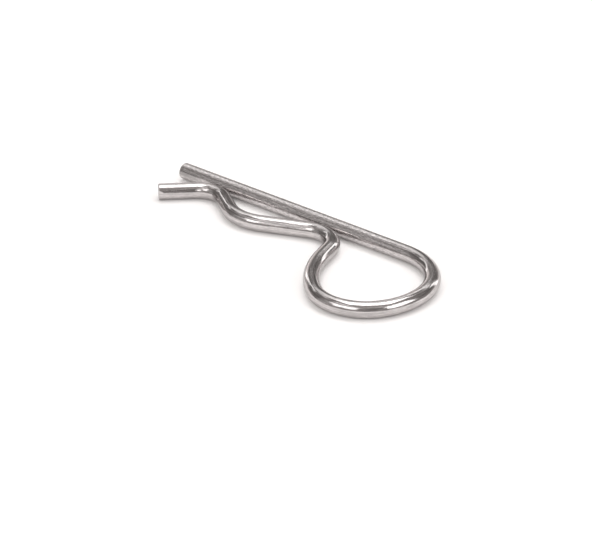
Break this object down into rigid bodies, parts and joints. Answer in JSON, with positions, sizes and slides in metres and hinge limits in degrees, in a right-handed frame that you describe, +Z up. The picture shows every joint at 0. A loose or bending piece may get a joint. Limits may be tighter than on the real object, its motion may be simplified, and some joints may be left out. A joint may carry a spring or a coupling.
{
  "type": "hitch r clip pin",
  "caption": "Round spring wire bent flat into a straight leg, a finger loop and a wavy formed leg that snaps over a cross-drilled shaft, so that a hitch pin can't pull out.",
  "frame": {"origin": "under the middle of the clip's outline, on the surface that it lies on", "axes": "+X along the straight leg, from its free tip towards the finger loop; +Y from the formed leg towards the straight leg; +Z up, square to the plane of the bends"},
  "size_m": [0.092, 0.0366, 0.0041],
  "materials": {
    "wire": "bright drawn spring wire, with fine lines along it"
  },
  "bodies": {
    "root": {"r_clip": "wire"}
  },
  "joints": []
}
